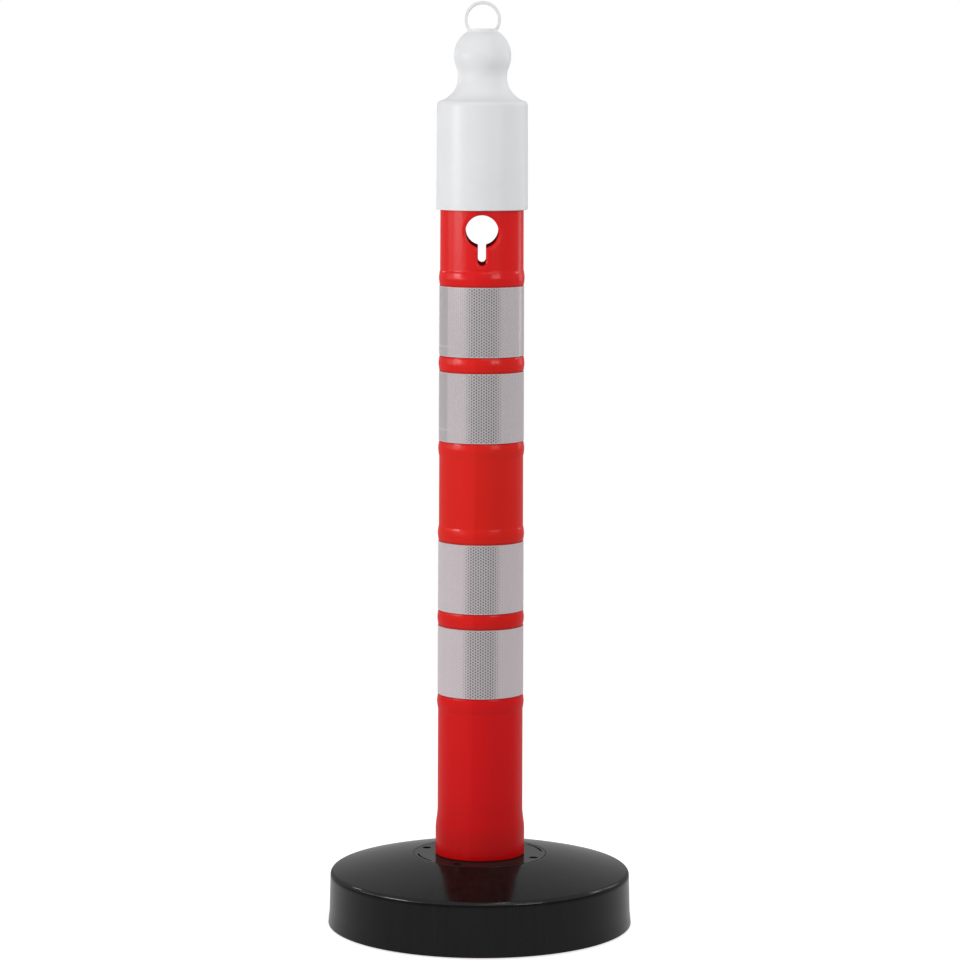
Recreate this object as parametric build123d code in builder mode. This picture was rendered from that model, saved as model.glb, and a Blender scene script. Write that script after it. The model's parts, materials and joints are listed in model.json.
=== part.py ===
from build123d import *
from math import hypot, sqrt
import os

# Chain barrier post: a weighted round foot, a tube with reflective bands pushed over a stub on
# that foot, and a push-on cap with a knob and a ring eye.
# Millimetres, +Z up. The origin is on the ground under the post's axis. The two keyholes face
# -Y, which is the front, and +Y.

# Base cover: a moulded shell with a drafted skirt and a shallow dome
foot_clearance = 1.5
skirt_foot_radius = 165.5
skirt_flare = 1.4
skirt_flare_height = 14.0
skirt_draft = 1.2
rim_height = 59.5
rim_round = 3.5
dome_bow = 1.5
cover_wall = 3.2
seat_floor = 4.5

# Foot flange: the plate let into the dome, with the stub for the tube
flange_top = 78.2
flange_edge_margin = 9.0
flange_thickness = 10.0
flange_gap = 0.4
flange_edge_round = 0.8
stub_height = 90.0
stub_wall = 4.0
stub_lead = 2.0
stub_clearance = 0.3
groove_edge_margin = 4.5
groove_width = 2.2
groove_depth = 2.0
groove_span = 32.0

# Flange bolts and the sleeves that they screw into
bolt_count = 4
bolt_circle_radius = 63.0
bolt_start_angle = 67.5
bolt_radius = 2.5
bolt_clearance = 0.3
bolt_head_radius = 4.25
bolt_head_height = 5.0
bolt_head_sink = 2.5
bolt_head_clearance = 0.5
bolt_socket_radius = 2.3
bolt_socket_depth = 2.5
bolt_engagement = 20.0
sleeve_radius = 5.0
sleeve_length = 26.0
thread_gap = 0.05

# Ballast and bottom plate
ballast_gap = 0.3
plate_inset = 1.0
plate_thickness = 4.0
boss_count = 6
boss_radius = 6.5
boss_merge = 0.5
plate_screw_radius = 2.0
plate_screw_length = 16.0
plate_screw_head_radius = 4.0
plate_screw_head_height = 2.0
plate_screw_recess = 2.2
plate_screw_slot_radius = 1.5
plate_screw_slot_depth = 1.0
plate_screw_clearance = 0.3
foot_count = 6
foot_radius = 14.0
foot_pocket = 1.5
foot_gap = 0.2
foot_margin = 4.0
foot_edge_round = 0.6

# Tube, measured up from its foot: bare stretch, beads with bands between them, keyhole, cap
tube_wall = 3.2
tube_seat_gap = 0.2
tube_top_radius = 44.4
tube_foot_radius = 46.3
tube_foot_round = 1.5
tube_top_round = 1.0
bell_flare = 2.15
bell_straight = 27.0
bell_slope = 24.0
bare_stretch = 160.2
bead_count = 6
bead_height = 16.9
bead_proud = 1.0
bead_crown = 0.3
bead_ramp = 3.2
band_zone = 75.0
upper_band_count = 2

# Reflective bands: strips with a butt seam at the back
band_thickness = 0.4
band_glue = 0.2
band_edge_gap = 0.3
band_seam = 0.8

# Keyholes
keyhole_radius = 17.5
keyhole_margin = 4.8
keyhole_corner_round = 1.0
slot_width = 8.6
slot_reach = 36.0
slot_margin = 6.1

# Cap: skirt over the tube, waisted neck, ball knob with a flat top
cap_overlap = 107.1
cap_wall = 3.0
cap_gap = 1.4
cap_draft = 0.6
cap_seat_gap = 0.2
cap_ledge = 4.5
cap_edge_round = 0.8
cap_top_wall = 6.0
shoulder_round = 5.0
neck_rise = 34.0
neck_round = 26.8
waist_depth = 4.45
ball_radius = 30.5
ball_flat_depth = 4.9
rib_count = 8
rib_width = 2.4
rib_clearance = 0.35
rib_setback = 8.0

# Ring eye on its foot disc, with the stem, washer and screw that let it swivel
ring_radius = 19.5
ring_bar = 3.4
ring_depth = 7.0
ring_edge_round = 1.2
ring_rise = 9.7
ring_disc_thickness = 3.0
ring_disc_margin = 0.5
stem_radius = 5.0
stem_clearance = 0.1
stem_play = 0.3
ring_washer_radius = 11.0
ring_washer_thickness = 1.6
ring_screw_radius = 2.0
ring_screw_reach = 7.5
ring_screw_head_radius = 4.2
ring_screw_head_height = 3.0
ring_screw_slot_radius = 1.6
ring_screw_slot_depth = 1.6

# Levels and radii that follow from the sizes above
flare_top = foot_clearance + skirt_flare_height
flare_radius = skirt_foot_radius - skirt_flare
rim_radius = flare_radius - skirt_draft
flange_radius = bolt_circle_radius + flange_edge_margin
groove_radius = flange_radius - groove_edge_margin
recess_radius = flange_radius + flange_gap
well_radius = recess_radius + cover_wall
seat_level = flange_top - flange_thickness
seat_underside = seat_level - seat_floor

plate_underside = foot_clearance + plate_inset
plate_top = plate_underside + plate_thickness
plate_radius = rim_radius - cover_wall
boss_circle = plate_radius - boss_radius + boss_merge
plate_screw_seat = plate_underside + plate_screw_recess
foot_circle = boss_circle - boss_radius - foot_radius - foot_margin

tube_foot = flange_top + tube_seat_gap
bell_radius = tube_foot_radius + bell_flare
bell_top = tube_foot + bell_straight + bell_slope
bead_pitch = bead_height + band_zone
first_bead = tube_foot + bare_stretch
bare_zone = bead_count - 1 - upper_band_count
beads_top = first_bead + bead_count * bead_height + (bead_count - 1) * band_zone
cap_foot = beads_top + slot_margin + slot_reach + keyhole_radius + keyhole_margin
tube_top = cap_foot + cap_overlap
keyhole_level = cap_foot - keyhole_margin - keyhole_radius
slot_mouth = keyhole_level - sqrt(keyhole_radius**2 - (slot_width / 2) ** 2)
slot_run = slot_reach - slot_width / 2
tube_taper = (tube_foot_radius - tube_top_radius) / (tube_top - bell_top)

cap_seat = tube_top + cap_seat_gap
neck_level = tube_top + neck_rise
waist_radius = ball_radius - waist_depth
neck_center = waist_radius + neck_round
ball_level = neck_level + sqrt((ball_radius + neck_round) ** 2 - neck_center**2)
ball_flat = ball_level + ball_radius - ball_flat_depth
knob_ceiling = ball_flat - cap_top_wall
stem_foot = knob_ceiling - stem_play
ring_disc_radius = sqrt(ball_radius**2 - (ball_flat - ball_level) ** 2) - ring_disc_margin
ring_disc_top = ball_flat + ring_disc_thickness
ring_level = ring_disc_top + ring_rise


def tube_radius(level):
    """Outer radius of the plain tube, which narrows evenly from its bell to its top."""
    return tube_foot_radius - tube_taper * (level - bell_top)


bell_bore = bell_radius - tube_wall
tube_bore_at_bell = tube_foot_radius - tube_wall
stub_top = flange_top + stub_height
stub_foot_radius = bell_bore - stub_clearance
stub_top_radius = tube_radius(stub_top) - tube_wall - stub_clearance
stub_bore = stub_top_radius - stub_wall

cap_bore = tube_radius(cap_foot) + cap_gap
cap_foot_radius = cap_bore + cap_wall
cap_top_radius = cap_foot_radius - cap_draft
cap_ledge_radius = tube_radius(tube_top) - cap_ledge


def cavity_outline(gap, floor):
    """Draw the section of the space under the cover, drawn in by a gap, down to a floor level."""
    rim = (rim_radius - cover_wall - gap, rim_height - cover_wall - gap)
    dome_inner = (well_radius + gap, flange_top - cover_wall - gap)
    SagittaArc(dome_inner, rim, dome_bow)
    Polyline(
        dome_inner,
        (well_radius + gap, seat_underside - gap),
        (0, seat_underside - gap),
        (0, floor),
        (flare_radius - cover_wall - gap, floor),
        rim,
    )


def corner(section, radius, level):
    """The vertex of a section that lies nearest to a radius and a level."""
    return section.vertices().sort_by_distance((radius, level, 0))[0]


# Base cover: the outer form less the space under it, in which the screw bosses stand
with BuildPart() as cover_space:
    with BuildSketch(Plane.XZ):
        with BuildLine():
            cavity_outline(0, 0)
        make_face()
    revolve(axis=Axis.Z)
    with BuildSketch(Plane.XY.offset(plate_top)):
        with PolarLocations(boss_circle, boss_count):
            Circle(boss_radius)
    extrude(amount=flange_top, mode=Mode.SUBTRACT)

with BuildPart() as base_cover:
    with BuildSketch(Plane.XZ) as cover_section:
        with BuildLine():
            SagittaArc((recess_radius, flange_top), (rim_radius, rim_height), dome_bow)
            Polyline(
                (recess_radius, flange_top),
                (recess_radius, seat_level),
                (0, seat_level),
                (0, foot_clearance),
                (skirt_foot_radius, foot_clearance),
                (flare_radius, flare_top),
                (rim_radius, rim_height),
            )
        make_face()
        fillet(corner(cover_section, rim_radius, rim_height), radius=rim_round)
    revolve(axis=Axis.Z)
    add(cover_space.part, mode=Mode.SUBTRACT)
    with Locations(Plane.XY.offset(seat_level)):
        with PolarLocations(bolt_circle_radius, bolt_count, bolt_start_angle):
            Hole(bolt_radius + bolt_clearance, depth=seat_floor)
    with Locations(Plane.XY.offset(plate_top)):
        with PolarLocations(boss_circle, boss_count):
            Cylinder(
                plate_screw_radius + thread_gap,
                plate_screw_length,
                align=(Align.CENTER, Align.CENTER, Align.MIN),
                mode=Mode.SUBTRACT,
            )
base_cover.part.label = "base_cover"

# Ballast: the cast weight under the dome, with its boss clearances and sleeve holes
with BuildPart() as ballast_block:
    with BuildSketch(Plane.XZ):
        with BuildLine():
            cavity_outline(ballast_gap, plate_top)
        make_face()
    revolve(axis=Axis.Z)
    with BuildSketch(Plane.XY.offset(plate_top)):
        with PolarLocations(boss_circle, boss_count):
            Circle(boss_radius + ballast_gap)
    extrude(amount=flange_top, mode=Mode.SUBTRACT)
    with Locations(Plane.XY.offset(seat_underside - ballast_gap)):
        with PolarLocations(bolt_circle_radius, bolt_count, bolt_start_angle):
            Hole(sleeve_radius + thread_gap, depth=sleeve_length)
ballast_block.part.label = "ballast_block"

with BuildPart() as ballast_inserts:
    with BuildSketch(Plane.XY.offset(seat_underside - ballast_gap)):
        with PolarLocations(bolt_circle_radius, bolt_count, bolt_start_angle):
            Circle(sleeve_radius)
            Circle(bolt_radius + thread_gap, mode=Mode.SUBTRACT)
    extrude(amount=-sleeve_length)
ballast_inserts.part.label = "ballast_inserts"

# Bottom plate with its screws and anti-slip feet
with BuildPart() as base_plate:
    with BuildSketch(Plane.XY.offset(plate_underside)):
        Circle(plate_radius)
    extrude(amount=plate_thickness)
    with BuildSketch(Plane.XY.offset(plate_underside)):
        with PolarLocations(boss_circle, boss_count):
            Circle(plate_screw_radius + plate_screw_clearance)
    extrude(amount=plate_thickness, mode=Mode.SUBTRACT)
    with BuildSketch(Plane.XY.offset(plate_underside)):
        with PolarLocations(boss_circle, boss_count):
            Circle(plate_screw_head_radius + plate_screw_clearance)
    extrude(amount=plate_screw_recess, mode=Mode.SUBTRACT)
    with BuildSketch(Plane.XY.offset(plate_underside)):
        with PolarLocations(foot_circle, foot_count):
            Circle(foot_radius + foot_gap)
    extrude(amount=foot_pocket, mode=Mode.SUBTRACT)
base_plate.part.label = "base_plate"

with BuildPart() as base_plate_screws:
    with BuildSketch(Plane.XY.offset(plate_screw_seat)):
        with PolarLocations(boss_circle, boss_count):
            Circle(plate_screw_head_radius)
    extrude(amount=-plate_screw_head_height)
    with BuildSketch(Plane.XY.offset(plate_screw_seat)):
        with PolarLocations(boss_circle, boss_count):
            Circle(plate_screw_radius)
    extrude(amount=plate_screw_length)
    with BuildSketch(Plane.XY.offset(plate_screw_seat - plate_screw_head_height)):
        with PolarLocations(boss_circle, boss_count):
            RegularPolygon(plate_screw_slot_radius, 6)
    extrude(amount=plate_screw_slot_depth, mode=Mode.SUBTRACT)
base_plate_screws.part.label = "base_plate_screws"

feet = []
for number in range(foot_count):
    with BuildPart() as rubber_foot:
        with BuildSketch():
            with PolarLocations(foot_circle, 1, number * 360 / foot_count):
                Circle(foot_radius)
        extrude(amount=plate_underside + foot_pocket)
        fillet(rubber_foot.edges().group_by(Axis.Z)[0], radius=foot_edge_round)
    rubber_foot.part.label = f"rubber_foot_{number + 1}"
    feet.append(rubber_foot.part)

# Foot flange: the plate and its stepped stub, the lower step in the bell, the upper in the tube
with BuildPart() as foot_flange:
    with BuildSketch(Plane.XZ) as flange_section:
        with BuildLine():
            Polyline(
                (stub_bore, seat_level),
                (flange_radius, seat_level),
                (flange_radius, flange_top),
                (stub_foot_radius, flange_top),
                (stub_foot_radius, tube_foot + bell_straight),
                (stub_top_radius, bell_top),
                (stub_top_radius, stub_top),
                (stub_bore, stub_top),
                close=True,
            )
        make_face()
        fillet(corner(flange_section, flange_radius, flange_top), radius=flange_edge_round)
        chamfer(corner(flange_section, stub_top_radius, stub_top), length=stub_lead)
    revolve(axis=Axis.Z)
    with Locations(Plane.XY.offset(flange_top)):
        with PolarLocations(bolt_circle_radius, bolt_count, bolt_start_angle):
            CounterBoreHole(
                bolt_radius + bolt_clearance,
                bolt_head_radius + bolt_head_clearance,
                bolt_head_sink + bolt_head_height,
            )
    with BuildLine(mode=Mode.PRIVATE) as groove_line:
        CenterArc((0, 0), groove_radius, -groove_span / 2, groove_span)
    with BuildSketch(Plane.XY.offset(flange_top)):
        with PolarLocations(0, bolt_count, bolt_start_angle + 180 / bolt_count):
            SlotArc(groove_line.edge(), groove_width)
    extrude(amount=-groove_depth, mode=Mode.SUBTRACT)
foot_flange.part.label = "foot_flange"

bolt_head_top = flange_top - bolt_head_sink
bolt_seat = bolt_head_top - bolt_head_height
bolt_tip = seat_underside - ballast_gap - bolt_engagement
with BuildPart() as flange_bolts:
    with BuildSketch(Plane.XY.offset(bolt_seat)):
        with PolarLocations(bolt_circle_radius, bolt_count, bolt_start_angle):
            Circle(bolt_head_radius)
    extrude(amount=bolt_head_height)
    with BuildSketch(Plane.XY.offset(bolt_seat)):
        with PolarLocations(bolt_circle_radius, bolt_count, bolt_start_angle):
            Circle(bolt_radius)
    extrude(amount=bolt_tip - bolt_seat)
    with BuildSketch(Plane.XY.offset(bolt_head_top)):
        with PolarLocations(bolt_circle_radius, bolt_count, bolt_start_angle):
            RegularPolygon(bolt_socket_radius, 6)
    extrude(amount=-bolt_socket_depth, mode=Mode.SUBTRACT)
flange_bolts.part.label = "flange_bolts"

# Tube: tapered, beaded and belled at its foot, with a keyhole through its front and back
with BuildPart() as post_tube:
    with BuildSketch(Plane.YZ) as tube_section:
        with BuildLine():
            bell_shoulder = (bell_radius, tube_foot + bell_straight)
            bell_end = (tube_foot_radius, bell_top)
            Line((bell_radius, tube_foot), bell_shoulder)
            Spline(bell_shoulder, bell_end, tangents=[(0, 1), (-tube_taper, 1)])
            below = bell_end
            for bead in range(bead_count):
                foot = first_bead + bead * bead_pitch
                top = foot + bead_height
                side = tube_radius((foot + top) / 2) + bead_proud - bead_crown
                bead_foot = (tube_radius(foot), foot)
                bead_top = (tube_radius(top), top)
                crown_foot = (side, foot + bead_ramp)
                crown_top = (side, top - bead_ramp)
                Polyline(below, bead_foot, crown_foot)
                SagittaArc(crown_foot, crown_top, -bead_crown)
                Line(crown_top, bead_top)
                below = bead_top
            Polyline(
                below,
                (tube_top_radius, tube_top),
                (tube_top_radius - tube_wall, tube_top),
                (tube_bore_at_bell, bell_top),
                (bell_bore, tube_foot + bell_straight),
                (bell_bore, tube_foot),
                (bell_radius, tube_foot),
            )
        make_face()
        fillet(corner(tube_section, bell_radius, tube_foot), radius=tube_foot_round)
        fillet(corner(tube_section, tube_top_radius, tube_top), radius=tube_top_round)
    revolve(axis=Axis.Z)
    with BuildSketch(Plane.XZ) as keyhole:
        with Locations((0, keyhole_level)):
            Circle(keyhole_radius)
        with Locations((0, keyhole_level - slot_run / 2)):
            SlotCenterToCenter(slot_run, slot_width, rotation=90)
        slot_sides = (-slot_width / 2, slot_width / 2)
        fillet([corner(keyhole, side, slot_mouth) for side in slot_sides], radius=keyhole_corner_round)
    extrude(amount=bell_radius, both=True, mode=Mode.SUBTRACT)
post_tube.part.label = "post_tube"

# Reflective bands, numbered from the top, in the zones between beads that aren't left bare
bands = []
band_zones = [zone for zone in range(bead_count - 1, 0, -1) if zone != bare_zone]
for zone in band_zones:
    with BuildPart() as reflective_band:
        zone_foot = first_bead + zone * bead_pitch - band_zone
        band_foot = zone_foot + band_edge_gap
        band_top = zone_foot + band_zone - band_edge_gap
        with BuildSketch(Plane.XZ):
            with BuildLine():
                inner_foot = tube_radius(band_foot) + band_glue
                inner_top = tube_radius(band_top) + band_glue
                Polyline(
                    (inner_foot, band_foot),
                    (inner_foot + band_thickness, band_foot),
                    (inner_top + band_thickness, band_top),
                    (inner_top, band_top),
                    close=True,
                )
            make_face()
        revolve(axis=Axis.Z)
        with BuildSketch(Plane.XY.offset(band_foot)):
            Rectangle(band_seam, bell_radius * 2, align=(Align.CENTER, Align.MIN))
        extrude(amount=band_zone, mode=Mode.SUBTRACT)
    reflective_band.part.label = f"reflective_band_{len(bands) + 1}"
    bands.append(reflective_band.part)

# Cap: one hollow moulding, whose ledge sits on the tube and whose ribs centre it
neck_to_ball = hypot(neck_center, ball_level - neck_level)
toward_neck = (neck_center / neck_to_ball, (neck_level - ball_level) / neck_to_ball)


def neck_drop(radius, offset):
    """How far below the waist the neck's curve, set in by an offset, has reached a radius."""
    return sqrt((neck_round + offset) ** 2 - (neck_center - radius) ** 2)


def ball_tangent(offset):
    """Where the neck's curve runs into the ball, both set in by an offset."""
    reach = ball_radius - offset
    return (toward_neck[0] * reach, ball_level + toward_neck[1] * reach)


with BuildPart() as cap:
    with BuildSketch(Plane.XZ) as cap_section:
        with BuildLine():
            shoulder = (cap_top_radius, neck_level - neck_drop(cap_top_radius, 0))
            flat_edge = (ring_disc_radius + ring_disc_margin, ball_flat)
            ThreePointArc(shoulder, (waist_radius, neck_level), ball_tangent(0))
            ThreePointArc(ball_tangent(0), (ball_radius, ball_level), flat_edge)
            inner_ball = ball_radius - cap_wall
            ceiling_radius = sqrt(inner_ball**2 - (knob_ceiling - ball_level) ** 2)
            ceiling_edge = (ceiling_radius, knob_ceiling)
            stem_hole = stem_radius + stem_clearance
            Polyline(flat_edge, (stem_hole, ball_flat), (stem_hole, knob_ceiling), ceiling_edge)
            ThreePointArc(ceiling_edge, (inner_ball, ball_level), ball_tangent(cap_wall))
            inner_waist = (waist_radius - cap_wall, neck_level)
            ledge_top = neck_level - neck_drop(cap_ledge_radius, cap_wall)
            ThreePointArc(ball_tangent(cap_wall), inner_waist, (cap_ledge_radius, ledge_top))
            Polyline(
                (cap_ledge_radius, ledge_top),
                (cap_ledge_radius, cap_seat),
                (cap_bore - cap_draft, cap_seat),
                (cap_bore, cap_foot),
                (cap_foot_radius, cap_foot),
                shoulder,
            )
        make_face()
        fillet(corner(cap_section, *shoulder), radius=shoulder_round)
        fillet(corner(cap_section, cap_foot_radius, cap_foot), radius=cap_edge_round)
        fillet(corner(cap_section, *flat_edge), radius=cap_edge_round)
    revolve(axis=Axis.Z)
    rib_inner = tube_radius(cap_foot) + rib_clearance
    rib_outer = cap_foot_radius - cap_wall / 2 - cap_draft
    with BuildSketch(Plane.XY.offset(cap_foot + rib_setback)):
        with PolarLocations((rib_inner + rib_outer) / 2, rib_count):
            Rectangle(rib_outer - rib_inner, rib_width)
    extrude(amount=cap_seat - cap_foot - rib_setback)
cap.part.label = "cap"

# Ring eye: a flat-backed ring cut off at its foot disc, with the stem that swivels in the cap
with BuildPart() as ring_eye:
    with BuildSketch(Plane.XZ):
        with Locations((0, ring_level)):
            Circle(ring_radius)
            Circle(ring_radius - ring_bar, mode=Mode.SUBTRACT)
    extrude(amount=ring_depth / 2, both=True)
    fillet(ring_eye.edges().filter_by(GeomType.CIRCLE), radius=ring_edge_round)
    split(bisect_by=Plane.XY.offset(ball_flat), keep=Keep.TOP)
    with BuildSketch(Plane.XY.offset(ball_flat)):
        Circle(ring_disc_radius)
    extrude(amount=ring_disc_thickness)
    with BuildSketch(Plane.XY.offset(ball_flat)):
        Circle(stem_radius)
    extrude(amount=stem_foot - ball_flat)
    with BuildSketch(Plane.XY.offset(stem_foot)):
        Circle(ring_screw_radius + thread_gap)
    extrude(amount=ring_screw_reach, mode=Mode.SUBTRACT)
ring_eye.part.label = "ring_eye"

with BuildPart() as ring_washer:
    with BuildSketch(Plane.XY.offset(stem_foot)):
        Circle(ring_washer_radius)
        Circle(ring_screw_radius + thread_gap, mode=Mode.SUBTRACT)
    extrude(amount=-ring_washer_thickness)
ring_washer.part.label = "ring_washer"

ring_screw_seat = stem_foot - ring_washer_thickness
with BuildPart() as ring_screw:
    with BuildSketch(Plane.XY.offset(ring_screw_seat)):
        Circle(ring_screw_head_radius)
    extrude(amount=-ring_screw_head_height)
    with BuildSketch(Plane.XY.offset(ring_screw_seat)):
        Circle(ring_screw_radius)
    extrude(amount=ring_washer_thickness + ring_screw_reach - stem_play)
    with BuildSketch(Plane.XY.offset(ring_screw_seat - ring_screw_head_height)):
        RegularPolygon(ring_screw_slot_radius, 6)
    extrude(amount=ring_screw_slot_depth, mode=Mode.SUBTRACT)
ring_screw.part.label = "ring_screw"

os.makedirs("parts", exist_ok=True)
pieces = [
    base_cover.part,
    ballast_block.part,
    ballast_inserts.part,
    base_plate.part,
    base_plate_screws.part,
    *feet,
    foot_flange.part,
    flange_bolts.part,
    post_tube.part,
    *bands,
    cap.part,
    ring_eye.part,
    ring_washer.part,
    ring_screw.part,
]
for piece in pieces:
    export_step(piece, f"parts/{piece.label}.step")
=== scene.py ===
import json
import math

import bmesh
import bpy
from mathutils import Matrix, Vector


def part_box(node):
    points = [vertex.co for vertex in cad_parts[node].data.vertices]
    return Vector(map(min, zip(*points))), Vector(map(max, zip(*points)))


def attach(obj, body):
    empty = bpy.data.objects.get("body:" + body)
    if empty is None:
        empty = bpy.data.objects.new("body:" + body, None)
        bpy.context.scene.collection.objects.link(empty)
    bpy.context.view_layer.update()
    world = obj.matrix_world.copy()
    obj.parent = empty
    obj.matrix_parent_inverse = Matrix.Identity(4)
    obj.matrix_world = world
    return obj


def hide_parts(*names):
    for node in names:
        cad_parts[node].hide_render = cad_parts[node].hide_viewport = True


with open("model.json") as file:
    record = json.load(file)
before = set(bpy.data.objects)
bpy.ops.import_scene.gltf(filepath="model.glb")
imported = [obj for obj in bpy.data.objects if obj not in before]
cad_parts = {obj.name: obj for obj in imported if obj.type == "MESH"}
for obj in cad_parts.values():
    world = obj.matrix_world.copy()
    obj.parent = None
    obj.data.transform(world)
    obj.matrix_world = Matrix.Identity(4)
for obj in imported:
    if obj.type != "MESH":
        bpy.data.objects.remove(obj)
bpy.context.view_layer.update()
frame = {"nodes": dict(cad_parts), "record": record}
MM = 0.001

# Smooth shading breaks at edges sharper than this, in degrees
CREASE_ANGLE = 35.0

# Tube, in millimetres
COLUMNS = 256
WALL = 3.2
FOOT_ROUND = 1.5
FOOT_STEPS = 6
BELL_FLARE = 2.15
BELL_STRAIGHT = 27.0
BELL_SLOPE = 24.0
BELL_ROWS = (5.0, 12.0, 20.0, BELL_STRAIGHT - 0.5)
BELL_STEPS = 14
SHAFT_STEPS = 8
TOP_RADIUS = 44.4
TOP_ROUND = 1.0
TOP_STEPS = 5
TOP_MARGIN = 4.0
OUTER_LEVELS = (800.0, 830.0, 860.0)
INNER_LEVELS_ABOVE = (860.0, 820.0)
INNER_LEVELS_BELOW = (600.0, 450.0, 300.0)

# Beads of the tube and the bands between them, in millimetres
BEAD_COUNT = 6
BEAD_HEIGHT = 16.9
BEAD_STEP = 0.42
BEAD_RAMP = 2.6
BEAD_CROWN = 0.72
RAMP_STEPS = 6
CROWN_STEPS = 9
BAND_COUNT = 4
BAND_GAP = 0.3
BAND_STEPS = 6

# Keyhole, its lip and the bore through the wall, in millimetres
KEYHOLE_RADIUS = 17.5
SLOT_WIDTH = 8.6
SLOT_REACH = 36.0
LIP_WIDTH = 3.6
LIP_DROP = 1.7
LIP_POWER = 1.5
LIP_OFFSETS = (LIP_WIDTH, 3.45, 3.2, 2.8, 2.3, 1.8, 1.3, 0.85, 0.5, 0.2, 0.0)
BORE_CHAMFER = 0.3
BORE_STEPS = (
    (0.0, 0.5 * (WALL + LIP_DROP)),
    (0.0, WALL - BORE_CHAMFER),
    (0.1, WALL - 0.1),
    (BORE_CHAMFER, WALL),
)

# Patch of finer mesh around each keyhole: its size in columns and rows, and its levels in millimetres
PATCH_COLUMNS = 24
PATCH_ROWS = 48
PATCH_LOW = 716.5
PATCH_HIGH = 784.0
OUTER_SHARES = (0.25, 0.5, 0.75)
INNER_SHARES = (0.3, 0.6, 0.85)
END_STEPS = 9
SIDE_STEPS = 18
CIRCLE_STEPS = 2 * PATCH_COLUMNS + PATCH_ROWS - END_STEPS - SIDE_STEPS

# Base cover, in millimetres
COVER_SEGMENTS = 360
COVER_WALL = 3.2
RIM_RADIUS = 162.9
RIM_HEIGHT = 59.5
RIM_ROUND = 5.2
FLARE_RADIUS = 164.1
FLARE_HEIGHT = 14.0
FLARE_ROUND = 6.0
EDGE_ROUND = 0.9
INNER_EDGE_ROUND = 0.4
INNER_ROUND = 1.0
DOME_BOW = 1.5
DOME_STEPS = 24
RECESS_RADIUS = 72.12
RECESS_ROUND = 0.7
SEAT_LEVEL = 68.2
SEAT_FLOOR = 4.5
STEPS_PER_MM = 4
LEAST_STEPS = 6

# Finishes of the base cover, by how far its outside leans from upright, in degrees
GLOSS, RIM, SATIN = 0, 1, 2
SATIN_TILT = 18
RIM_TILT = 60

# Surface relief, and the zones of colour around the tube and the bands: on the tube painted light, on the
# bands partly painted sheen
BUMP_STRENGTH = 0.5
ZONES = 3

# Levels between which the tube's red changes, in metres; the darkening at the foot is painted shade
RED_TOP = (0.60, 0.70)
RED_LOW = (0.25, 0.40)
RED_FOOT = (0.07, 0.15)

# Shade on the beads beside a band: how far it reaches, in millimetres, and how strong it is
SEAM_ABOVE = 3.0
SEAM_BELOW = 2.4
SEAM_SHADE = 0.55

# Lattice of dots on the sheeting, in millimetres
DOTS_AROUND = 54
DOT_PITCH = 5.37
DOT_ROW = 3.1
DOT_CORE = 0.6
DOT_EDGE = 1.15

# Pale cut edge of a band, partly painted highlight, in metres from its end, and the margin around a band
CUT_INNER = 0.0011
CUT_OUTER = 0.0005
CUT_MARGIN = 0.001

# Faint creases, drawn as painted highlights: height above a band's lower edge in millimetres, and the
# line's width in metres
CREASE_HIGHLIGHTS = {"reflective_band_1": 10.7, "reflective_band_2": 13.2}
CREASE_CORE = 0.0004
CREASE_EDGE = 0.0015

# Skirt level where its sheen fades under the rim, in metres
SKIRT_FADE = (0.0530, 0.0562)

# Strength of the soft light from the front and from behind
WORLD_FRONT = 0.52
WORLD_BACK = 0.34

# Floor: half its side and the distances between which it turns white, in metres, and its glow
FLOOR_REACH = 12.0
FLOOR_FADE = (1.2, 2.4)
FLOOR_GLOW = 0.72

# Camera: place in metres, angles in degrees, lens and sensor in millimetres
CAMERA_PLACE = (-0.0012, -3.812, 0.923)
CAMERA_TILT = 83.487
CAMERA_ROLL = 0.2
LENS = 133.26
SENSOR = 36.0


class Skin:
    """Points and faces of one mesh, in millimetres, gathered ring by ring around the Z axis."""

    def __init__(self, columns):
        self.columns = columns
        self.points = []
        self.faces = []
        self.marks = []

    def add(self, x, y, z):
        self.points.append((x * MM, y * MM, z * MM))
        return len(self.points) - 1

    def ring(self, radius, level):
        made = []
        for column in range(self.columns):
            angle = math.tau * column / self.columns
            made.append(self.add(radius * math.sin(angle), -radius * math.cos(angle), level))
        return made

    def bridge(self, first, second, mark=0, skipped=()):
        count = len(first)
        for i in range(count):
            if i not in skipped:
                after = (i + 1) % count
                self.faces.append((first[i], first[after], second[after], second[i]))
                self.marks.append(mark)

    def fan(self, ring, level):
        """Close a ring with triangles that meet on the axis."""
        center = self.add(0.0, 0.0, level)
        count = len(ring)
        for i in range(count):
            self.faces.append((ring[i], ring[(i + 1) % count], center))
            self.marks.append(0)

    def build(self, name, materials):
        mesh = bpy.data.meshes.new(name)
        mesh.from_pydata(self.points, [], self.faces)
        mesh.polygons.foreach_set("material_index", self.marks)
        tidy = bmesh.new()
        tidy.from_mesh(mesh)
        loose = [v for v in tidy.verts if not v.link_faces]
        bmesh.ops.delete(tidy, geom=loose, context="VERTS")
        bmesh.ops.recalc_face_normals(tidy, faces=tidy.faces)
        tidy.to_mesh(mesh)
        tidy.free()
        mesh.polygons.foreach_set("use_smooth", [True] * len(mesh.polygons))
        mesh.set_sharp_from_angle(angle=math.radians(CREASE_ANGLE))
        for material in materials:
            mesh.materials.append(material)
        piece = bpy.data.objects.new(name, mesh)
        bpy.context.scene.collection.objects.link(piece)
        return piece


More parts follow.
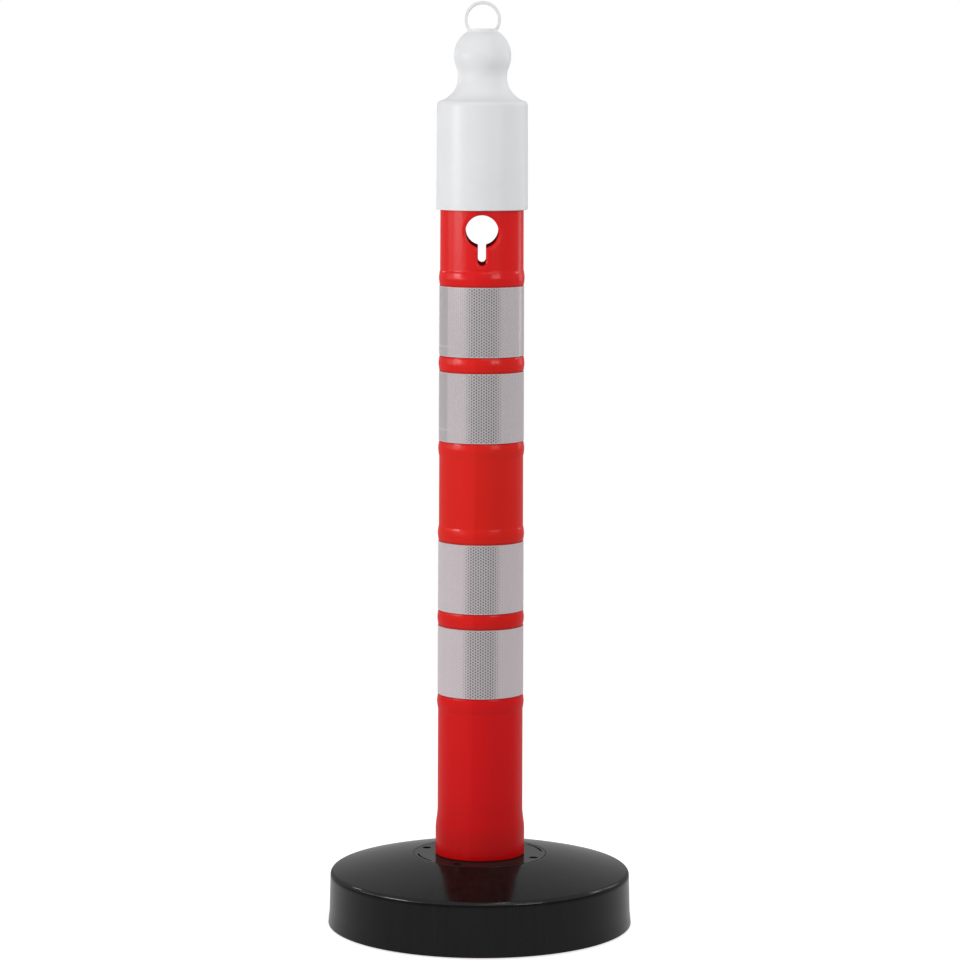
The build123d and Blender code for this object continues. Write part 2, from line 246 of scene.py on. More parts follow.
def rounded(corners):
    """Points of a section whose corners, given as (radius, level, rounding), are rounded off."""
    points = []
    for i, (x, z, rounding) in enumerate(corners):
        here = Vector((x, z))
        if rounding == 0:
            points.append(here)
            continue
        back = (Vector(corners[i - 1][:2]) - here).normalized()
        on = (Vector(corners[(i + 1) % len(corners)][:2]) - here).normalized()
        half = back.angle(on) / 2
        steps = max(LEAST_STEPS, round(STEPS_PER_MM * rounding))
        cut = rounding / math.tan(half)
        center = here + (back + on).normalized() * (rounding / math.sin(half))
        start = here + back * cut - center
        sweep = start.angle_signed(here + on * cut - center)
        for step in range(steps + 1):
            turn = Matrix.Rotation(-sweep * step / steps, 2)
            points.append(center + turn @ start)
    return points


class Tube:
    """The tube's own sizes: the levels come from the frame, the rest are the values above."""

    def __init__(self):
        low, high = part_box("post_tube")
        self.foot = low.z / MM
        self.top = high.z / MM
        self.bell_radius = high.x / MM
        self.bell_top = self.foot + BELL_STRAIGHT + BELL_SLOPE
        self.low_radius = self.bell_radius - BELL_FLARE
        self.taper = (self.low_radius - TOP_RADIUS) / (self.top - self.bell_top)
        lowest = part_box("reflective_band_4")[0].z / MM - BAND_GAP - BEAD_HEIGHT
        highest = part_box("reflective_band_1")[1].z / MM + BAND_GAP
        pitch = (highest - lowest) / (BEAD_COUNT - 1)
        self.beads = [lowest + pitch * i for i in range(BEAD_COUNT)]
        mounts = {m["name"]: m for m in frame["record"]["mounts"]}
        self.keyhole = mounts["chain_keyhole"]["pos_m"][2] / MM

    def radius(self, level):
        return self.low_radius - self.taper * (level - self.bell_top)

    def bell_curve(self):
        points = []
        for i in range(1, BELL_STEPS + 1):
            t = i / BELL_STEPS
            ease = t * t * (3 - 2 * t)
            level = self.foot + BELL_STRAIGHT + BELL_SLOPE * t
            points.append((self.bell_radius - BELL_FLARE * ease, level))
        return points

    def bead_curve(self, foot):
        """A bead's outline: a short ramp, a rounded crown, and the same ramp again."""
        half = BEAD_HEIGHT / 2
        inset = [BEAD_RAMP * i / RAMP_STEPS for i in range(RAMP_STEPS)]
        inset += [BEAD_RAMP + (half - BEAD_RAMP) * i / CROWN_STEPS for i in range(CROWN_STEPS)]
        points = [(self.radius(foot + d) + self.proud(d), foot + d) for d in inset]
        points.append((self.radius(foot + half) + self.proud(half), foot + half))
        for offset in reversed(inset):
            level = foot + BEAD_HEIGHT - offset
            points.append((self.radius(level) + self.proud(offset), level))
        return points

    def proud(self, offset):
        """How far a bead stands out at a distance from its edge."""
        share = min(1.0, offset / BEAD_RAMP)
        ramp = BEAD_STEP * share * share * (3 - 2 * share)
        return ramp + BEAD_CROWN / 2 * (1 - math.cos(math.tau * offset / BEAD_HEIGHT))

    def foot_curve(self):
        points = []
        for i in range(FOOT_STEPS + 1):
            turn = math.pi / 2 * i / FOOT_STEPS
            radius = self.bell_radius - FOOT_ROUND + FOOT_ROUND * math.sin(turn)
            points.append((radius, self.foot + FOOT_ROUND - FOOT_ROUND * math.cos(turn)))
        return points

    def top_curve(self):
        points = []
        for i in range(TOP_STEPS + 1):
            turn = math.pi / 2 * i / TOP_STEPS
            radius = TOP_RADIUS - TOP_ROUND + TOP_ROUND * math.cos(turn)
            points.append((radius, self.top - TOP_ROUND + TOP_ROUND * math.sin(turn)))
        return points

    def outer_rows(self):
        """The outside from the foot up to the highest bead, as (radius, level)."""
        rows = self.foot_curve()
        rows += [(self.bell_radius, self.foot + d) for d in BELL_ROWS]
        rows += self.bell_curve()
        shaft = self.beads[0] - self.bell_top
        levels = [self.bell_top + shaft * i / SHAFT_STEPS for i in range(1, SHAFT_STEPS)]
        rows += [(self.radius(z), z) for z in levels]
        for bead, foot in enumerate(self.beads):
            rows += self.bead_curve(foot)
            if bead + 1 < BEAD_COUNT:
                gap = self.beads[bead + 1] - foot - BEAD_HEIGHT
                spaced = [foot + BEAD_HEIGHT + gap * i / BAND_STEPS for i in range(1, BAND_STEPS)]
                rows += [(self.radius(z), z) for z in spaced]
        return rows


def keyhole_half(offset, level):
    """Half of the keyhole's outline, grown by an offset, from the slot's foot round to the top."""
    side = SLOT_WIDTH / 2 + offset
    reach = KEYHOLE_RADIUS + offset
    end = level - SLOT_REACH + SLOT_WIDTH / 2
    points = []
    for i in range(END_STEPS):
        angle = math.pi / 2 * i / END_STEPS
        points.append((side * math.sin(angle), end - side * math.cos(angle)))
    meet = level - math.sqrt(reach * reach - side * side)
    for i in range(SIDE_STEPS):
        points.append((side, end + (meet - end) * i / SIDE_STEPS))
    start = math.asin(side / reach)
    for i in range(CIRCLE_STEPS + 1):
        angle = start + (math.pi - start) * i / CIRCLE_STEPS
        points.append((reach * math.sin(angle), level - reach * math.cos(angle)))
    return points


def keyhole_loop(offset, level):
    """The keyhole's whole outline, with the corner between slot and circle eased a little."""
    half = keyhole_half(offset, level)
    corner = END_STEPS + SIDE_STEPS
    before, after = half[corner - 1], half[corner + 1]
    half[corner] = tuple(0.5 * h + 0.25 * (b + a) for h, b, a in zip(half[corner], before, after))
    return half + [(-x, z) for x, z in reversed(half[1:-1])]


def patch_border(rows, middle):
    """The grid points around a keyhole's patch, from the middle of its lower edge to the right."""
    low, high = rows[0], rows[-1]
    reach = PATCH_COLUMNS
    loop = [low[(middle + j) % COLUMNS] for j in range(reach)]
    loop += [rows[i][(middle + reach) % COLUMNS] for i in range(PATCH_ROWS)]
    loop += [high[(middle + j) % COLUMNS] for j in range(reach, -reach, -1)]
    loop += [rows[i][(middle - reach) % COLUMNS] for i in range(PATCH_ROWS, 0, -1)]
    loop += [low[(middle + j) % COLUMNS] for j in range(-reach, 0)]
    return loop


def keyhole_patch(skin, tube, outer_rows, inner_rows, facing):
    """Close the wall around one keyhole, with a softly rounded lip outside and a bore through it."""
    middle = 0 if facing < 0 else COLUMNS // 2

    def place(x, z, depth):
        radius = tube.radius(z) - depth
        return skin.add(-facing * x, facing * math.sqrt(radius * radius - x * x), z)

    def flat(index):
        x, _, z = skin.points[index]
        return (-facing * x / MM, z / MM)

    def lip(offset):
        rest = max(0.0, 1 - offset / LIP_WIDTH)
        return LIP_DROP * rest**LIP_POWER

    def outline(offset, depth):
        return [place(x, z, depth) for x, z in keyhole_loop(offset, tube.keyhole)]

    def between(border, depth, offset, shares):
        goal = keyhole_loop(offset, tube.keyhole)
        loops = []
        for share in shares:
            loop = []
            for index, (gx, gz) in zip(border, goal):
                x, z = flat(index)
                loop.append(place(x + (gx - x) * share, z + (gz - z) * share, depth))
            loops.append(loop)
        return loops

    outer = patch_border(outer_rows, middle)
    inner = patch_border(inner_rows, middle)
    loops = [outer] + between(outer, 0.0, LIP_WIDTH, OUTER_SHARES)
    loops += [outline(offset, lip(offset)) for offset in LIP_OFFSETS]
    loops += [outline(offset, depth) for offset, depth in BORE_STEPS]
    loops += reversed(between(inner, WALL, BORE_CHAMFER, INNER_SHARES))
    loops.append(inner)
    for first, second in zip(loops, loops[1:]):
        skin.bridge(first, second)


def post_tube(material):
    tube = Tube()
    skin = Skin(COLUMNS)
    step = (PATCH_HIGH - PATCH_LOW) / PATCH_ROWS
    window = [PATCH_LOW + step * i for i in range(PATCH_ROWS + 1)]
    crown = [(tube.radius(z), z) for z in OUTER_LEVELS + (tube.top - TOP_MARGIN,)]
    crown += tube.top_curve()
    lower = [skin.ring(r, z) for r, z in tube.outer_rows()]
    outer_rows = [skin.ring(tube.radius(z), z) for z in window]
    upper = [skin.ring(r, z) for r, z in crown]
    inner_top = [skin.ring(TOP_RADIUS - WALL, tube.top)]
    inner_top += [skin.ring(tube.radius(z) - WALL, z) for z in INNER_LEVELS_ABOVE]
    inner_rows = [skin.ring(tube.radius(z) - WALL, z) for z in window]
    levels = INNER_LEVELS_BELOW + (tube.bell_top,)
    inner_low = [skin.ring(tube.radius(z) - WALL, z) for z in levels]
    bore = tube.bell_radius - WALL
    inner_low += [skin.ring(bore, tube.foot + BELL_STRAIGHT), skin.ring(bore, tube.foot)]
    spread = range(-PATCH_COLUMNS, PATCH_COLUMNS)
    open_columns = {(middle + c) % COLUMNS for middle in (0, COLUMNS // 2) for c in spread}
    rings = lower + outer_rows + upper + inner_top + inner_rows[::-1] + inner_low
    windows = {id(r) for r in outer_rows}, {id(r) for r in inner_rows}
    for first, second in zip(rings, rings[1:] + rings[:1]):
        in_window = any(id(first) in w and id(second) in w for w in windows)
        skin.bridge(first, second, skipped=open_columns if in_window else ())
    for facing in (-1, 1):
        keyhole_patch(skin, tube, outer_rows, inner_rows, facing)
    piece = skin.build("tube_with_keyholes", [material])
    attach(piece, "post")
    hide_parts("post_tube")


def dome_line(start, end):
    """The dome's section: a straight line, bowed outwards a little."""
    along = end - start
    across = Vector((-along.y, along.x)).normalized()
    points = []
    for i in range(DOME_STEPS + 1):
        t = i / DOME_STEPS
        points.append(start + along * t + across * (4 * DOME_BOW * t * (1 - t)))
    return points


def cover_finish(start, end):
    """Which finish a stretch of the cover's section has."""
    along = end - start
    tilt = math.degrees(math.atan2(along.x, -along.y))
    outside = (start.x + end.x) / 2 > RIM_RADIUS - RIM_ROUND
    if outside and tilt <= SATIN_TILT:
        return SATIN
    if outside and tilt < RIM_TILT:
        return RIM
    return GLOSS


def base_cover(gloss, rim, satin):
    low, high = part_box("base_cover")
    foot, foot_radius, top = low.z / MM, high.x / MM, high.z / MM
    dome = dome_line(Vector((RECESS_RADIUS, top)), Vector((RIM_RADIUS, RIM_HEIGHT)))
    corners = [(RECESS_RADIUS, SEAT_LEVEL, 0.0), (RECESS_RADIUS, top, RECESS_ROUND)]
    corners += [(p.x, p.y, 0.0) for p in dome[1:-1]]
    corners += [
        (RIM_RADIUS, RIM_HEIGHT, RIM_ROUND),
        (FLARE_RADIUS, foot + FLARE_HEIGHT, FLARE_ROUND),
        (foot_radius, foot, EDGE_ROUND),
        (FLARE_RADIUS - COVER_WALL, foot, INNER_EDGE_ROUND),
        (RIM_RADIUS - COVER_WALL, RIM_HEIGHT - COVER_WALL, INNER_ROUND),
        (RECESS_RADIUS + COVER_WALL, top - COVER_WALL, INNER_ROUND),
        (RECESS_RADIUS + COVER_WALL, SEAT_LEVEL - SEAT_FLOOR, 0.0),
    ]
    section = rounded(corners)
    skin = Skin(COVER_SEGMENTS)
    rings = [skin.ring(p.x, p.y) for p in section]
    for i, (first, second) in enumerate(zip(rings, rings[1:])):
        skin.bridge(first, second, cover_finish(section[i], section[i + 1]))
    skin.fan(rings[0], SEAT_LEVEL)
    skin.fan(rings[-1], SEAT_LEVEL - SEAT_FLOOR)
    piece = skin.build("base_shell", [gloss, rim, satin])
    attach(piece, "base")
    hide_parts("base_cover")


class Graph:
    """The node tree of a material or a world, with short calls to add and link nodes."""

    def __init__(self, owner):
        self.owner = owner
        owner.use_nodes = True
        self.tree = owner.node_tree
        self.tree.nodes.clear()

    def node(self, kind, inputs=None, **settings):
        made = self.tree.nodes.new(kind)
        for key, value in settings.items():
            setattr(made, key, value)
        for key, value in (inputs or {}).items():
            if isinstance(value, bpy.types.NodeSocket):
                self.tree.links.new(value, made.inputs[key])
            else:
                made.inputs[key].default_value = value
        return made

    def place(self):
        return self.node("ShaderNodeTexCoord").outputs["Object"]

    def axes(self, vector):
        return self.node("ShaderNodeSeparateXYZ", {0: vector}).outputs

    def turn(self, axes):
        """Angle about the Z axis from the front, in turns."""
        angle = self.math("ARCTAN2", axes["X"], self.times(axes["Y"], -1.0))
        return self.times(angle, 1 / math.tau)

    def stretch(self, vector, scale):
        return self.node("ShaderNodeMapping", {"Vector": vector, "Scale": scale}).outputs[0]

    def noise(self, vector, scale, detail=2.0, roughness=0.5):
        sockets = {"Vector": vector, "Scale": scale, "Detail": detail, "Roughness": roughness}
        return self.node("ShaderNodeTexNoise", sockets).outputs["Fac"]

    def math(self, operation, first, second=0.0):
        return self.node("ShaderNodeMath", {0: first, 1: second}, operation=operation).outputs[0]

    def plus(self, first, second):
        return self.math("ADD", first, second)

    def minus(self, first, second):
        return self.math("SUBTRACT", first, second)

    def times(self, first, second):
        return self.math("MULTIPLY", first, second)

    def span(self, value, low, high, to_low, to_high):
        """A value between low and high carried over to another range, and held at its ends."""
        sockets = {"Value": value, "From Min": low, "From Max": high, "To Min": to_low, "To Max": to_high}
        return self.node("ShaderNodeMapRange", sockets).outputs["Result"]

    def blend(self, factor, first, second):
        sockets = {0: factor, 6: first, 7: second}
        return self.node("ShaderNodeMix", sockets, data_type="RGBA").outputs[2]

    def tint(self, value, low, high, first, second):
        """One colour up to low, another from high on, and a blend between."""
        return self.blend(self.span(value, low, high, 0.0, 1.0), first, second)

    def bump(self, height, distance):
        sockets = {"Height": height, "Distance": distance, "Strength": BUMP_STRENGTH}
        return self.node("ShaderNodeBump", sockets).outputs["Normal"]

    def shown(self):
        """1 for rays that show the background: from the camera, through glass and off gloss."""
        path = self.node("ShaderNodeLightPath").outputs
        seen = self.math("MAXIMUM", path["Is Camera Ray"], path["Is Transmission Ray"])
        return self.math("MAXIMUM", seen, path["Is Glossy Ray"])

    def close(self, shader, output="ShaderNodeOutputMaterial"):
        self.node(output, {"Surface": shader.outputs[0]})
        return self.owner

    def surface(self, sockets):
        return self.close(self.node("ShaderNodeBsdfPrincipled", sockets))


def material_graph(name):
    return Graph(bpy.data.materials.new(name))


def rgb(red, green, blue):
    return (red, green, blue, 1.0)


def grey(value):
    return rgb(value, value, value)


def turns(degrees):
    return degrees / 360


def seams(g, level):
    """Shade in the narrow grooves where the beads meet the bands."""
    shade = 0.0
    for number in range(1, BAND_COUNT + 1):
        low, high = (corner.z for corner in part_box(f"reflective_band_{number}"))
        above = g.span(level, high + BAND_GAP * MM, high + SEAM_ABOVE * MM, SEAM_SHADE, 0.0)
        below = g.span(level, low - SEAM_BELOW * MM, low - BAND_GAP * MM, 0.0, SEAM_SHADE)
        shade = g.math("MAXIMUM", shade, g.math("MINIMUM", above, below))
    return shade


def red_plastic():
    """Red moulded plastic with three lighter zones around, which are painted light, a duller foot
    darkened by painted shade, and shaded seams.
    """
    g = material_graph("tube_red")
    place = g.place()
    axes = g.axes(place)
    turn, level = g.turn(axes), axes["Z"]
    flow = g.noise(g.stretch(place, (55.0, 55.0, 7.0)), 1.0, 3.0)
    cloud = g.noise(place, 9.0, 2.0)
    peel = g.noise(place, 520.0, 1.0)
    # Painted light: three lighter zones around, brightest toward one edge, stand in for the tube's lit
    # side and its step into shade
    lean = g.span(level, 0.2, 0.5, turns(39.5), turns(35.5))
    third = g.times(g.plus(turn, lean), ZONES * math.tau)
    zone = g.span(g.math("COSINE", third), 0.06, 0.22, 0.0, 1.0)
    zone = g.times(zone, g.span(g.math("SINE", third), -1.0, 1.0, 0.4, 0.95))
    tone = g.plus(zone, g.times(g.plus(flow, cloud), 0.18))
    top = g.blend(tone, rgb(0.69, 0.0065, 0.007), rgb(0.72, 0.0095, 0.010))
    middle = g.blend(tone, rgb(0.66, 0.0098, 0.0042), rgb(0.72, 0.0135, 0.0095))
    low = g.blend(tone, rgb(0.665, 0.0048, 0.0072), rgb(0.695, 0.008, 0.0095))
    colour = g.tint(level, *RED_TOP, middle, top)
    colour = g.tint(level, *RED_LOW, low, colour)
    # Painted shade: the red darkens toward the foot, where the base takes the light away
    foot = g.times(g.span(level, *RED_FOOT, 1.0, 0.0), g.span(flow, 0.3, 0.7, 0.6, 1.0))
    colour = g.blend(foot, colour, rgb(0.49, 0.0032, 0.0038))
    colour = g.blend(seams(g, level), colour, rgb(0.25, 0.008, 0.008))
    edge = g.node("ShaderNodeLayerWeight", {"Blend": 0.5}).outputs["Facing"]
    sheen = g.span(level, 0.15, 0.5, 0.10, 0.17)
    return g.surface(
        {
            "Base Color": colour,
            "Roughness": 0.5,
            "Specular IOR Level": 0.0,
            "Coat Weight": g.span(edge, 0.35, 0.66, sheen, 0.19),
            "Coat Roughness": 0.18,
            "Coat IOR": 1.7,
            "Coat Normal": g.bump(peel, 0.000006),
        }
    )


def white_plastic(name):
    """White moulded plastic, slightly clouded."""
    g = material_graph(name)
    place = g.place()
    cloud = g.noise(place, 22.0, 3.0)
    peel = g.noise(place, 480.0, 1.0)
    return g.surface(
        {
            "Base Color": g.tint(cloud, 0.3, 0.7, rgb(0.753, 0.756, 0.768), rgb(0.778, 0.781, 0.793)),
            "Roughness": 0.5,
            "Specular IOR Level": 0.0,
            "Coat Weight": 0.1,
            "Coat Roughness": 0.26,
            "Coat IOR": 2.0,
            "Coat Normal": g.bump(peel, 0.00002),
        }
    )


def black_moulding(name, dark, light, smooth, dull):
    """Black plastic with a soft gloss, faint streaks running out from the middle and fine dust."""
    g = material_graph(name)
    place = g.place()
    spread = g.node("ShaderNodeVectorMath", {0: place}, operation="NORMALIZE").outputs[0]
    streak = g.noise(g.stretch(spread, (26.0, 26.0, 5.0)), 1.0, 5.0, 0.6)
    cloud = g.noise(place, 14.0, 4.0)
    dust = g.span(g.noise(place, 1300.0, 1.0), 0.70, 0.78, 0.0, 0.35)
    wear = g.span(g.plus(g.times(streak, 0.6), g.times(cloud, 0.4)), 0.38, 0.62, 0.0, 1.0)
    uneven = g.plus(cloud, g.times(streak, 0.5))
    return g.surface(
        {
            "Base Color": g.blend(dust, g.blend(wear, dark, light), grey(0.03)),
            "Roughness": g.span(wear, 0.0, 1.0, smooth, dull),
            "Specular IOR Level": 0.0,
            "Coat Weight": 0.33,
            "Coat Roughness": 0.14,
            "Coat IOR": 1.35,
            "Coat Normal": g.bump(uneven, 0.0004),
        }
    )


def rim_black():
    """The rounded edge of the base, rubbed a little smoother than the dome."""
    g = material_graph("base_rim_black")
    rub = g.noise(g.place(), 70.0, 4.0, 0.6)
    return g.surface(
        {
            "Base Color": g.tint(rub, 0.3, 0.7, grey(0.004), grey(0.009)),
            "Roughness": g.span(rub, 0.3, 0.7, 0.2, 0.3),
            "Specular IOR Level": 0.0,
            "Coat Weight": 0.17,
            "Coat Roughness": 0.12,
            "Coat IOR": 2.0,
        }
    )


def satin_skirt():
    """The upright side of the base: fine moulded grain with faint drag lines, duller under the rim."""
    g = material_graph("base_satin_black")
    place = g.place()
    level = g.axes(place)["Z"]
    grain = g.noise(place, 750.0, 3.0)
    drag = g.noise(g.stretch(place, (190.0, 190.0, 12.0)), 1.0, 3.0)
    tone = g.plus(g.times(grain, 0.5), g.times(drag, 0.5))
    return g.surface(
        {
            "Base Color": g.tint(tone, 0.38, 0.62, grey(0.001), grey(0.004)),
            "Roughness": 0.5,
            "Specular IOR Level": 0.0,
            "Coat Weight": g.span(level, *SKIRT_FADE, 0.52, 0.24),
            "Coat Roughness": 0.2,
            "Coat IOR": 1.35,
            "Normal": g.bump(grain, 0.00005),
            "Coat Normal": g.bump(grain, 0.00003),
        }
    )


def matt(name, dark, light, roughness, metal=0.0, grain=900.0, depth=0.0001):
    """A plain grained material, for what is unpainted or hidden."""
    g = material_graph(name)
    place = g.place()
    fine = g.noise(place, grain, 2.0)
    cloud = g.noise(place, grain / 18, 3.0)
    tone = g.plus(g.times(fine, 0.6), g.times(cloud, 0.4))
    return g.surface(
        {
            "Base Color": g.tint(tone, 0.35, 0.65, dark, light),
            "Roughness": g.span(cloud, 0.3, 0.7, roughness - 0.05, roughness + 0.05),
            "Metallic": metal,
            "Specular IOR Level": 0.3,
            "Normal": g.bump(fine, depth),
        }
    )


def dots(g, across, up):
    """One lattice of dots: 1 in the middle of a dot, 0 away from it."""
    x = g.times(g.minus(g.math("FRACT", across), 0.5), DOT_PITCH)
    y = g.times(g.minus(g.math("FRACT", up), 0.5), DOT_ROW)
    away = g.math("SQRT", g.plus(g.times(x, x), g.times(y, y)))
    return g.span(away, DOT_CORE, DOT_EDGE, 1.0, 0.0)


def painted_shade_strip(g, turn, level):
    """A darker strip at the left of the bands, strong on the upper two: painted shade where the lamp's
    reflection ends.
    """
    begin = g.span(turn, turns(-54), turns(-51.5), 1.0, 0.0)
    end = g.span(turn, turns(-95), turns(-72), 0.0, 1.0)
    return g.times(g.times(begin, end), g.span(level, 0.44, 0.52, 0.05, 0.68))


def cut_edges_and_highlight(g, level):
    """The pale cut edges above and below each band, made paler still as a painted highlight."""
    low, high = (corner.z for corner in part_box("reflective_band_4"))
    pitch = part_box("reflective_band_3")[0].z - low
    half = (high - low) / 2
    inside = g.math("FLOORED_MODULO", g.minus(level, low - CUT_MARGIN), pitch)
    away = g.math("ABSOLUTE", g.minus(inside, half + CUT_MARGIN))
    return g.span(away, half - CUT_INNER, half - CUT_OUTER, 0.0, 0.8)


def tape():
    """Silver-grey reflective sheeting: a lattice of dots, dense and darker in three zones around; the
    paler, faintly dotted stretches between are partly painted sheen.
    """
    g = material_graph("band_reflective")
    place = g.place()
    axes = g.axes(place)
    turn, level = g.turn(axes), axes["Z"]
    across = g.times(turn, DOTS_AROUND)
    up = g.times(level, 1 / (DOT_ROW * MM))
    shifted = dots(g, g.plus(across, 0.5), g.plus(up, 0.5))
    dot = g.math("MAXIMUM", dots(g, across, up), shifted)
    # Between the three zones the sheeting is paler with faint dots: partly painted sheen that washes the
    # dots out at an angle
    lean = g.span(level, 0.28, 0.5, turns(0.3), turns(3))
    third = g.math("COSINE", g.times(g.minus(turn, lean), ZONES * math.tau))
    zone = g.span(third, 0.2, 0.72, 0.0, 1.0)
    grain = g.noise(place, 420.0, 3.0)
    bare_and_painted_sheen = g.tint(grain, 0.3, 0.7, rgb(0.502, 0.452, 0.470), rgb(0.562, 0.511, 0.529))
    celled = g.tint(grain, 0.3, 0.7, rgb(0.438, 0.406, 0.418), rgb(0.498, 0.465, 0.478))
    pale = g.times(g.span(level, 0.25, 0.6, 0.3, 0.0), g.span(zone, 0.0, 1.0, 1.4, 0.6))
    colour = g.blend(pale, g.blend(zone, bare_and_painted_sheen, celled), rgb(0.76, 0.655, 0.69))
    # Painted shade: a darker strip at the left of the bands
    colour = g.blend(painted_shade_strip(g, turn, level), colour, rgb(0.375, 0.352, 0.36))
    # Painted highlight: a pale line along each crease, fading out toward the front
    crease_highlight_fade = g.span(turn, turns(-60), turns(-30), 0.36, 0.0)
    for name, lift in CREASE_HIGHLIGHTS.items():
        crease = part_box(name)[0].z + lift * MM
        away = g.math("ABSOLUTE", g.minus(level, crease))
        line = g.times(g.span(away, CREASE_CORE, CREASE_EDGE, 1.0, 0.0), crease_highlight_fade)
        colour = g.blend(line, colour, rgb(0.65, 0.61, 0.625))
    faint = g.span(level, 0.5, 0.65, 0.15, 0.26)
    strength = g.times(dot, g.span(zone, 0.0, 1.0, faint, 0.95))
    colour = g.blend(strength, colour, rgb(0.08, 0.077, 0.079))
    return g.surface(
        {
            # The pale band edges are partly painted highlight
            "Base Color": g.blend(cut_edges_and_highlight(g, level), colour, rgb(0.56, 0.54, 0.55)),
            "Roughness": 0.5,
            "Specular IOR Level": 0.0,
            "Coat Weight": 0.23,
            "Coat Roughness": 0.14,
            "Coat IOR": 2.0,
            "Normal": g.bump(strength, 0.00004),
        }
    )


def dress(node_materials):
    """Give each node the last material listed for the start of its name."""
    for name, node in frame["nodes"].items():
        for start, material in node_materials.items():
            if name.startswith(start):
                node.data.materials.clear()
                node.data.materials.append(material)


def build_pieces():
    red = red_plastic()
    gloss = black_moulding("base_gloss_black", grey(0.004), grey(0.008), 0.15, 0.24)
    flange = black_moulding("flange_matt_black", grey(0.010), grey(0.017), 0.2, 0.3)
    steel = matt(
        "fastener_steel", rgb(0.40, 0.40, 0.41), rgb(0.55, 0.55, 0.56), 0.36, metal=1.0, depth=0.00003
    )
    concrete = matt(
        "ballast_concrete", rgb(0.25, 0.24, 0.23), rgb(0.45, 0.44, 0.42), 0.9, grain=400.0
    )
    dress(
        {
            "base_cover": gloss,
            "ballast_block": concrete,
            "ballast_inserts": steel,
            "base_plate": matt("plate_matt_black", grey(0.010), grey(0.018), 0.6),
            "base_plate_screws": steel,
            "rubber_foot": matt("foot_rubber", grey(0.012), grey(0.024), 0.78),
            "foot_flange": flange,
            "flange_bolts": matt("bolt_black_steel", grey(0.012), grey(0.022), 0.4),
            "post_tube": red,
            "reflective_band": tape(),
            "cap": white_plastic("cap_white"),
            "ring_eye": white_plastic("ring_white"),
            "ring_washer": steel,
            "ring_screw": steel,
        }
    )
    post_tube(red)
    base_cover(gloss, rim_black(), satin_skirt())


def studio_world():
    """Soft light, a little stronger from the front, and a white background."""
    world = bpy.data.worlds.new("studio")
    bpy.context.scene.world = world
    g = Graph(world)
    way = g.node("ShaderNodeTexCoord").outputs["Generated"]
    light = g.span(g.axes(way)["Y"], -1.0, 1.0, WORLD_FRONT, WORLD_BACK)
    dome = g.node("ShaderNodeBackground", {"Color": grey(1.0), "Strength": light})
    backdrop = g.node("ShaderNodeBackground", {"Color": grey(1.0), "Strength": 1.0})
    sockets = {0: g.shown(), 1: dome.outputs[0], 2: backdrop.outputs[0]}
    g.close(g.node("ShaderNodeMixShader", sockets), "ShaderNodeOutputWorld")


def floor_material():
    """Pale paper that takes the object's shadow and turns white away from it."""
    g = material_graph("floor")
    place = g.place()
    shown = g.shown()
    colour = g.blend(g.noise(place, 8.0, 2.0), grey(0.54), grey(0.56))
    paper = g.node("ShaderNodeBsdfDiffuse", {"Color": colour})
    sockets = {"Color": grey(1.0), "Strength": g.times(shown, FLOOR_GLOW)}
    glow = g.node("ShaderNodeEmission", sockets)
    near = g.node("ShaderNodeAddShader", {0: paper.outputs[0], 1: glow.outputs[0]})
    white = g.node("ShaderNodeEmission", {"Color": grey(1.0), "Strength": 1.0})
    distance = g.node("ShaderNodeVectorMath", {0: place}, operation="LENGTH").outputs["Value"]
    far = g.times(g.span(distance, *FLOOR_FADE, 0.0, 1.0), shown)
    return g.close(g.node("ShaderNodeMixShader", {0: far, 1: near.outputs[0], 2: white.outputs[0]}))


def floor():
    reach = FLOOR_REACH
    mesh = bpy.data.meshes.new("floor")
    corners = [(-reach, -reach, 0), (reach, -reach, 0), (reach, reach, 0), (-reach, reach, 0)]
    mesh.from_pydata(corners, [], [(0, 1, 2, 3)])
    mesh.materials.append(floor_material())
    plane = bpy.data.objects.new("floor", mesh)
    bpy.context.scene.collection.objects.link(plane)


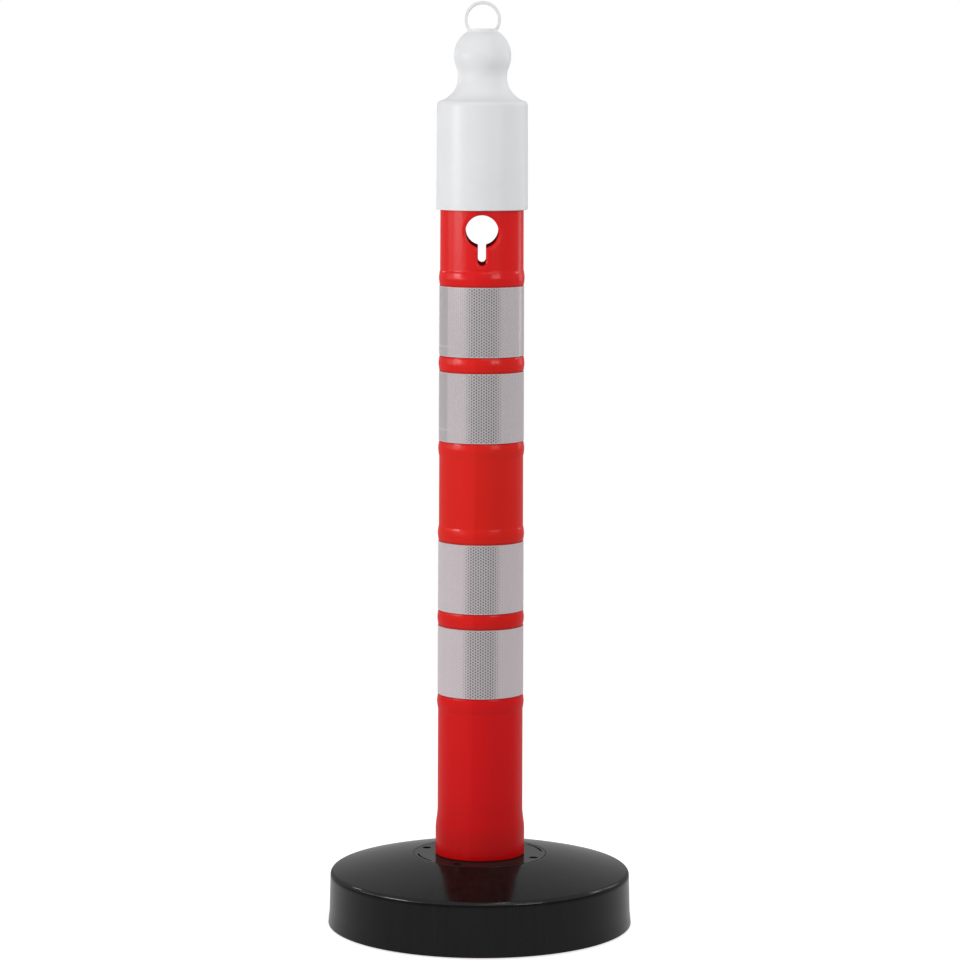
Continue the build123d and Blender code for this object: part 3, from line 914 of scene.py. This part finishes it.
def aim_lamp(name, place, aim, width, height, glow):
    """A rectangular softbox whose face is so many times as bright as the background."""
    lamp = bpy.data.lights.new(name, "AREA")
    lamp.shape = "RECTANGLE"
    lamp.size = width
    lamp.size_y = height
    lamp.energy = glow * math.pi * width * height
    holder = bpy.data.objects.new(name, lamp)
    holder.visible_camera = False
    holder.location = place
    holder.rotation_euler = (Vector(aim) - Vector(place)).to_track_quat("-Z", "Y").to_euler()
    bpy.context.scene.collection.objects.link(holder)


def softbox(name, azimuth, distance, low, high, width, glow):
    """A softbox upright around the object, its azimuth in degrees from the front to the right."""
    turn = math.radians(azimuth)
    middle = (low + high) / 2
    place = (distance * math.sin(turn), -distance * math.cos(turn), middle)
    aim_lamp(name, place, (0, 0, middle), width, high - low, glow)


def lights():
    softbox("left_wide", azimuth=-74.0, distance=1.6, low=0.62, high=0.97, width=1.9, glow=2.6)
    softbox("left_core", azimuth=-68.0, distance=1.6, low=0.62, high=0.85, width=0.7, glow=4.0)
    softbox("left_high", azimuth=-69.0, distance=1.6, low=0.84, high=1.10, width=0.58, glow=15.0)
    softbox("front", azimuth=38.0, distance=2.0, low=0.85, high=1.12, width=0.8, glow=9.0)
    softbox("left_back", azimuth=-128.0, distance=1.5, low=0.96, high=1.2, width=0.2, glow=15.0)
    softbox("right", azimuth=128.0, distance=1.5, low=0.5, high=1.5, width=0.4, glow=2.5)
    softbox("right_high", azimuth=112.0, distance=1.5, low=0.92, high=1.14, width=0.25, glow=11.0)
    softbox("fill", azimuth=26.0, distance=1.2, low=1.05, high=1.65, width=1.2, glow=2.0)
    aim_lamp("overhead", (0.38, -0.3, 2.2), aim=(0, 0, 0), width=0.26, height=0.25, glow=13.0)


def camera():
    lens = bpy.data.cameras.new("camera")
    lens.sensor_width = SENSOR
    lens.lens = LENS
    holder = bpy.data.objects.new("camera", lens)
    tilt = Matrix.Rotation(math.radians(CAMERA_TILT), 4, "X")
    roll = Matrix.Rotation(math.radians(CAMERA_ROLL), 4, "Z")
    holder.matrix_world = Matrix.Translation(CAMERA_PLACE) @ tilt @ roll
    bpy.context.scene.collection.objects.link(holder)
    bpy.context.scene.camera = holder


build_pieces()
studio_world()
floor()
lights()
camera()
bpy.context.scene.view_settings.view_transform = "Standard"
